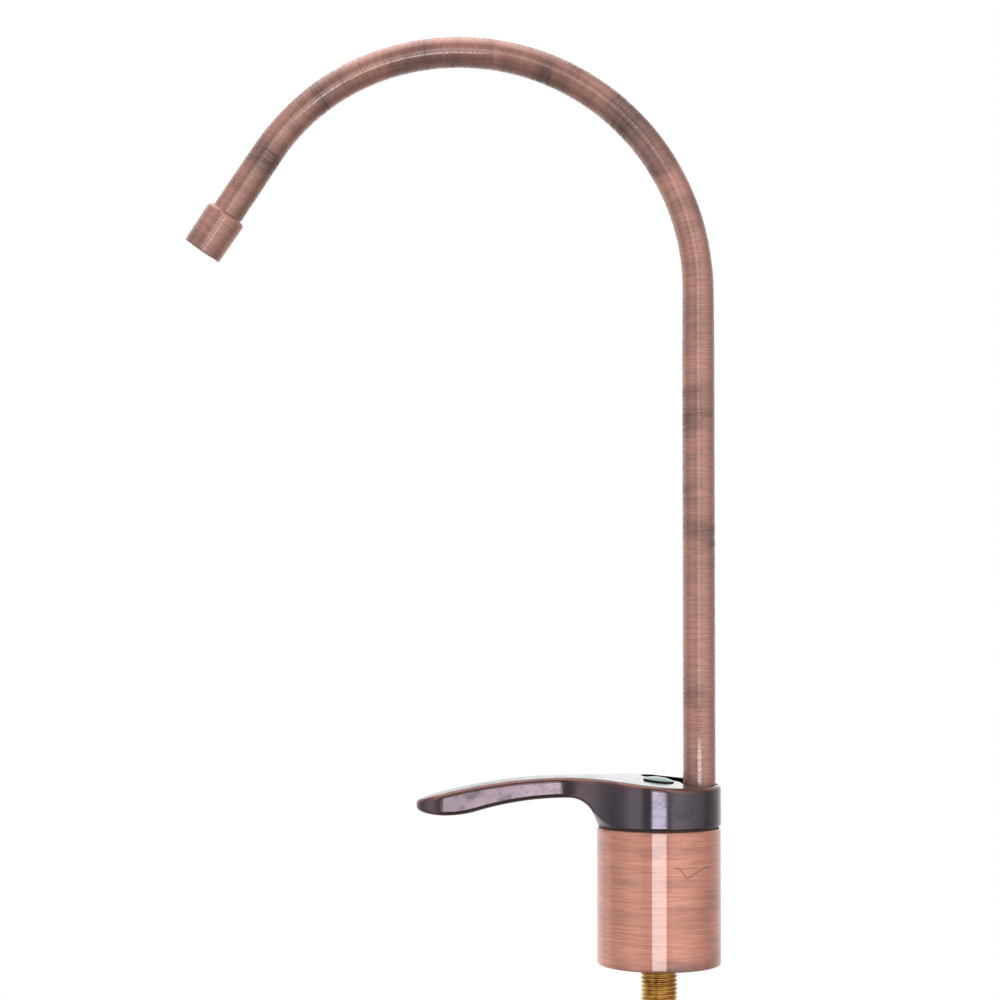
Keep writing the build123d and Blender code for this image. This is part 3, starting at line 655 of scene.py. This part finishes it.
@dataclass
class Shank:
    """The fixing shank, with its real thread."""

    crest_radius: float = 5.55 * MM
    bore_radius: float = 3.2 * MM
    foot: float = -58.0 * MM
    top: float = 12.1 * MM
    pitch: float = 1.27 * MM
    depth: float = 0.72 * MM
    lead: float = 0.8 * MM
    root_flat: float = 0.125
    crest_flat: float = 0.25
    around: int = 72
    steps_per_pitch: int = 10

    def build(self, finish: bpy.types.Material) -> bpy.types.Object:
        """A tube whose outer radius follows a screw thread.

        The phase is the height in pitches less the angle in turns. The radius falls from the
        crest by the depth times one less a triangle wave of that phase, which is cut flat for
        an eighth of a pitch at the root and for a quarter at the crest. Both ends of the shank
        keep a chamfer: the smaller of the thread's radius and a line at 45 degrees.

        Args:
            finish: The shank's material.

        Returns:
            The finished piece.
        """
        rows = int((self.top - self.foot) / self.pitch * self.steps_per_pitch)
        height = np.linspace(self.foot, self.top, rows)
        angle = np.linspace(0, 2 * math.pi, self.around, endpoint=False)
        level, turn = np.meshgrid(height, angle, indexing="ij")
        phase = (level / self.pitch - turn / (2 * math.pi)) % 1
        flanks = 1 - self.root_flat - self.crest_flat
        wave = np.clip((np.abs(phase - 0.5) * 2 - self.root_flat) / flanks, 0, 1)
        thread = self.crest_radius - self.depth * (1 - wave)
        end = np.minimum(level - self.foot, self.top - level)
        outer = np.minimum(thread, self.crest_radius - self.lead + end)
        radius = np.concatenate([outer, np.full_like(outer, self.bore_radius)])
        level = np.concatenate([level, level[::-1]])
        turn = np.concatenate([turn, turn])
        points = np.stack([radius * np.cos(turn), radius * np.sin(turn), level], axis=-1)
        faces = ring_grid(2 * rows, self.around).tolist()
        piece = make_piece("shank_with_thread", points, faces)
        piece.data.materials.append(finish)
        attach(piece, "base")
        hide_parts("threaded_shank")
        return piece


@dataclass
class Cap:
    """The shallow dome on the lever's axis, square to the sloping top on which it lies."""

    radius: float = 4.7 * MM
    rim: float = 0.5 * MM
    dome: float = 0.75 * MM
    edge_break: float = 0.08 * MM
    stem_radius: float = 4.3 * MM
    stem: float = 0.7 * MM
    level: float = 55.9 * MM
    fall: float = math.radians(6.5)
    cross_fall: float = math.radians(1.5)
    around: int = 96
    dome_rows: int = 24
    hair: float = 0.002

    def build(self, finish: bpy.types.Material, painted_shade_rim: bpy.types.Material) -> bpy.types.Object:
        """A profile of radius and height turned round the normal of the lever's top.

        The dome's height falls with the square of the radius. The profile then goes down the
        rim, in under the flange and down the stem. Both of its ends lie a hair off the axis and
        are closed by a fan.

        Args:
            finish: The dome's material.
            painted_shade_rim: The dark material of the rim under the dome, which paints the shade of
                the gap beneath the dome, and of the stem.

        Returns:
            The finished piece.
        """
        share = np.sin(np.linspace(self.hair, 0.5, self.dome_rows) * math.pi)
        rise = self.rim + self.dome * (1 - share**2)
        over = np.stack([share * (self.radius - self.edge_break), rise], axis=1)
        under = np.array([
            (self.radius, self.rim - self.edge_break), (self.radius, 0.0),
            (self.stem_radius, 0.0), (self.stem_radius, -self.stem),
            (self.hair * self.radius, -self.stem),
        ])
        profile = np.concatenate([over, under])[:, :, None, None]
        turn = np.linspace(0, 2 * math.pi, self.around, endpoint=False)[:, None]
        normal = np.array([math.sin(self.fall), -math.sin(self.cross_fall), 1.0])
        normal /= np.linalg.norm(normal)
        first = np.array([math.cos(self.fall), 0.0, -math.sin(self.fall)])
        second = np.cross(normal, first)
        radial = np.cos(turn) * first + np.sin(turn) * second
        points = profile[:, 0] * radial + profile[:, 1] * normal
        points[..., 2] += self.level
        rows, crown, foot = len(points), points[0].mean(axis=0), points[-1].mean(axis=0)
        points = np.concatenate([points.reshape(-1, 3), [crown, foot]])
        sides = ring_grid(rows, self.around)[: (rows - 1) * self.around, ::-1]
        near = np.arange(self.around)
        far = np.roll(near, -1)
        last = (rows - 1) * self.around
        top = np.column_stack([np.full(self.around, len(points) - 2), near, far])
        bottom = np.column_stack([np.full(self.around, len(points) - 1), far + last, near + last])
        piece = make_piece("cap_dome", points, sides.tolist() + top.tolist() + bottom.tolist())
        # The rim under the dome and all below it take the dark second material: painted shade of the
        # gap under the dome.
        painted_shade_faces = np.zeros(len(piece.data.polygons), np.int32)
        painted_shade_faces[self.dome_rows * self.around : last] = 1
        piece.data.polygons.foreach_set("material_index", painted_shade_faces)
        piece.data.materials.append(finish)
        piece.data.materials.append(painted_shade_rim)
        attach(piece, "lever")
        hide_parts("lever_cap")
        return piece


def eased(share: np.ndarray) -> np.ndarray:
    """Cut to 0 and 1, with a smooth start and end: three squares of the share less two cubes."""
    share = np.clip(share, 0, 1)
    return share * share * (3 - 2 * share)


@dataclass
class Spout:
    """The gooseneck tube: a straight, two bends and a straight in the plane of X and Z."""

    offset: float = 12.5 * MM
    foot: float = 36.6 * MM
    bend_start: float = 207.3 * MM
    main_radius: float = 76.1 * MM
    main_angle: float = math.radians(102.9)
    end_radius: float = 69.4 * MM
    end_angle: float = math.radians(42.9)
    end_run: float = 30.6 * MM
    tube_radius: float = 5.0 * MM
    wall: float = 1.0 * MM
    flattening: float = 0.055
    flat_start: float = 40.0 * MM
    flat_end: float = 30.0 * MM
    map_gap: float = 10.0 * MM
    around: int = 96
    step: float = 1.2 * MM

    @property
    def rise(self) -> float:
        """Length of the upright part."""
        return self.bend_start - self.foot

    @property
    def bends(self) -> float:
        """Length of both bends together."""
        return self.main_radius * self.main_angle + self.end_radius * self.end_angle

    def path(self, distance: np.ndarray) -> tuple[np.ndarray, np.ndarray, np.ndarray]:
        """The tube's centreline.

        In a bend, the place moves by the bend's radius times the change in the cosine and the
        sine of the angle that the tube has turned. Past it, the place runs straight on.

        Args:
            distance: Lengths along the centreline from the tube's foot.

        Returns:
            The X and the Z of each place, and the angle that the tube has turned from upright.
        """
        past = distance - self.rise
        main = np.clip(past / self.main_radius, 0, self.main_angle)
        main_length = self.main_radius * self.main_angle
        angle = main + np.clip((past - main_length) / self.end_radius, 0, self.end_angle)
        run = np.clip(past - self.bends, 0, self.end_run)
        x = self.offset + self.main_radius * (np.cos(main) - 1)
        z = self.foot + np.minimum(distance, self.rise) + self.main_radius * np.sin(main)
        x = x + self.end_radius * (np.cos(angle) - np.cos(main)) - run * np.sin(angle)
        z = z + self.end_radius * (np.sin(angle) - np.sin(main)) + run * np.cos(angle)
        return x, z, angle

    def build(self, finish: bpy.types.Material) -> bpy.types.Object:
        """A tube swept along the path, a little flattened in the bends as bent tube is.

        Each ring is an ellipse in the plane across the path: its half width in the bend's plane
        is the radius less a share of it, and its half width along Y the radius. The share rises
        and falls smoothly, over one length centred on the bends' start and one on their end.
        The outer rings run up the path and the inner ones back down it, so the wall is closed.

        Args:
            finish: The tube's material.

        Returns:
            The finished piece.
        """
        total = self.rise + self.bends + self.end_run
        rows = int(total / self.step)
        distance = np.linspace(0, total, rows)
        x, z, angle = (line[:, None] for line in self.path(distance))
        into = eased((distance - self.rise) / self.flat_start + 0.5)
        out = eased((total - self.end_run - distance) / self.flat_end + 0.5)
        narrow = 1 - (self.flattening * into * out)[:, None]
        turn = np.linspace(0, 2 * math.pi, self.around, endpoint=False)[None, :]

        def skin(radius: float) -> np.ndarray:
            """All the rings of one skin.

            Args:
                radius: Half width of a ring that isn't flattened.

            Returns:
                The places, by ring and by point of the ring.
            """
            wide = radius * narrow * np.cos(turn)
            deep = radius * np.sin(turn) * np.ones((rows, 1))
            return np.stack([x + wide * np.cos(angle), deep, z + wide * np.sin(angle)], axis=-1)

        points = np.concatenate([skin(self.tube_radius), skin(self.tube_radius - self.wall)[::-1]])
        along = np.concatenate([distance, distance[::-1] + total + self.map_gap])
        around = np.linspace(0, 2 * math.pi, self.around + 1) * self.tube_radius
        faces = ring_grid(2 * rows, self.around).tolist()
        maps = unrolled(2 * rows, self.around, along, around)
        piece = make_piece("spout_gooseneck", points, faces, maps)
        piece.data.materials.append(finish)
        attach(piece, "spout")
        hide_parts("spout_tube")
        return piece


@dataclass(frozen=True)
class SoftBox:
    """A rectangular soft light that faces a point, with its width, height and power in watts."""

    name: str
    place: Triple
    target: Triple
    size: Pair
    power: float
    colour: Colour = WHITE

    def hang(self) -> None:
        """Adds the light to the scene."""
        data = bpy.data.lights.new(self.name, "AREA")
        data.shape, data.energy, data.color = "RECTANGLE", self.power, self.colour
        data.size, data.size_y = self.size
        light = bpy.data.objects.new(self.name, data)
        facing = Vector(self.target) - Vector(self.place)
        light.location = self.place
        light.rotation_euler = facing.to_track_quat("-Z", "Y").to_euler()
        bpy.context.scene.collection.objects.link(light)


@dataclass
class Studio:
    """The plain studio: floor, white background, soft lights and the photograph's camera.

    The front box is low behind the camera and makes the pale strip down the body and the ring.
    A weaker one hangs over it, and a wide one over the tap. The room is seen by glossy surfaces
    only. It is a ramp of brightness over the compass direction, in degrees from the camera's
    side and positive to the right: paler beyond the tap and in two broad panels beside the front
    box, and darker between them. Looking down, it falls to its low share.
    """

    camera_place: Triple = (2.16 * MM, -650.99 * MM, 105.51 * MM)
    camera_turn: float = math.radians(4.5)
    camera_pitch: float = math.radians(1.5)
    lens: float = 75.6
    sensor: float = 36.0
    shift_up: float = 0.065
    clip: Pair = (0.01, 50.0)
    boxes: tuple[SoftBox, ...] = (
        SoftBox("front_box", (0.025, -1.2, -0.11), (0.025, 0, -0.11), (0.55, 0.22), 3.1, COOL),
        SoftBox("upper_box", (0.025, -1.2, 0.38), (0.025, 0, 0.38), (0.5, 0.7), 2.4, COOL),
        SoftBox("top_box", (-0.3, 0.1, 1.4), (0, 0, 0.1), (1.2, 1.2), 6.5),
    )
    floor_level: float = -80.8 * MM
    floor_reach: float = 12.0
    floor_fade: Pair = (0.15, 0.35)
    paper: Colour = (0.82, 0.82, 0.82)
    soft_level: float = 0.75
    low_room: float = 0.52
    low_room_range: Pair = (-0.8, -0.3)
    room: tuple[Pair, ...] = (
        (-180, 1.45), (-150, 1.2), (-122, 1.25), (-119, 0.5), (-116, 1.25), (-98, 1.1),
        (-95, 0.35), (-91, 0.65), (-70, 0.85), (-52, 1.35), (-34, 1.35), (-27, 0.6),
        (-14, 0.45), (12, 0.45), (19, 0.6), (26, 1.7), (45, 1.5), (62, 1.15), (87, 0.85),
        (100, 0.5), (118, 0.7), (145, 1.0), (180, 1.45),
    )

    def set_camera(self) -> None:
        """Looks along +Y turned to the left and a little up, with the photograph's long lens."""
        data = bpy.data.cameras.new("photo_camera")
        data.lens, data.sensor_width, data.shift_y = self.lens, self.sensor, self.shift_up
        data.clip_start, data.clip_end = self.clip
        camera = bpy.data.objects.new("photo_camera", data)
        camera.location = self.camera_place
        camera.rotation_euler = Euler((math.pi / 2 + self.camera_pitch, 0, self.camera_turn))
        bpy.context.scene.collection.objects.link(camera)
        bpy.context.scene.camera = camera

    def set_world(self) -> None:
        """White for the camera, soft light for matt surfaces and the room for glossy ones."""
        shader = Shader("studio", world=True)
        x, y, z = shader.axes(shader.node("ShaderNodeTexCoord", output="Generated"))
        turned = shader.node("ShaderNodeMath", {0: x, 1: y * -1}, operation="ARCTAN2")
        share = turned / (2 * math.pi) + 0.5
        stops = [((at + 180) / 360, (level,) * 3) for at, level in self.room]
        panels = shader.node("ShaderNodeValToRGB", {0: share}, stops=stops)
        dimming = z.between(*self.low_room_range) * (1 - self.low_room) + self.low_room

        def background(colour: Value | Colour, strength: Operand) -> Value:
            """A background of one strength."""
            return shader.node("ShaderNodeBackground", {"Color": colour, "Strength": strength})

        glossy = shader.node("ShaderNodeLightPath", output="Is Glossy Ray")
        camera = shader.node("ShaderNodeLightPath", output="Is Camera Ray")
        plain, shown = background(WHITE, self.soft_level), background(WHITE, 1.0)
        room = background(panels, dimming)
        unseen = shader.node("ShaderNodeMixShader", {0: glossy, 1: plain, 2: room})
        whole = shader.node("ShaderNodeMixShader", {0: camera, 1: unseen, 2: shown})
        bpy.context.scene.world = shader.end(whole)

    def lay_floor(self) -> None:
        """A wide pale floor that turns into the white of the background away from the tap."""
        shader = Shader("floor_paper")
        inputs = {0: shader.own_place()}
        away = shader.node("ShaderNodeVectorMath", inputs, output="Value", operation="LENGTH")
        camera = shader.node("ShaderNodeLightPath", output="Is Camera Ray")
        paper = shader.node("ShaderNodeBsdfDiffuse", {"Color": self.paper})
        white = shader.node("ShaderNodeEmission", {"Color": WHITE, "Strength": 1.0})
        share = away.between(*self.floor_fade) * camera
        mixed = shader.node("ShaderNodeMixShader", {0: share, 1: paper, 2: white})
        corners = np.array([(-1, -1), (1, -1), (1, 1), (-1, 1)]) * self.floor_reach
        points = np.column_stack([corners, np.full(4, self.floor_level)])
        floor = make_piece("floor", points, [[0, 1, 2, 3]])
        floor.data.materials.append(shader.end(mixed))
        floor.visible_glossy = False

    def build(self) -> None:
        """Sets up the whole studio, shown without any film look."""
        bpy.context.scene.view_settings.view_transform = "Standard"
        self.set_camera()
        for box in self.boxes:
            box.hang()
        self.set_world()
        self.lay_floor()


def main() -> None:
    """Dresses the model, and adds the finer pieces and the studio."""
    logging.basicConfig(level=logging.INFO, format="%(name)s: %(message)s")
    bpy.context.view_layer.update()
    finishes = Finishes()
    finishes.dress_nodes()
    slots = finishes.by_slot
    shank = Shank().build(slots["plain_brass"])
    # The black finish on the cap's rim is painted shade of the gap under the dome.
    cap = Cap().build(slots["cap_grey"], slots["black_rubber"])
    tube = Spout().build(finishes.tube_copper)
    for piece in (shank, cap, tube):
        LOG.info("%s: %d faces", piece.name, len(piece.data.polygons))
    Studio().build()
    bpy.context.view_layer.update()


if __name__ == "__main__":
    main()
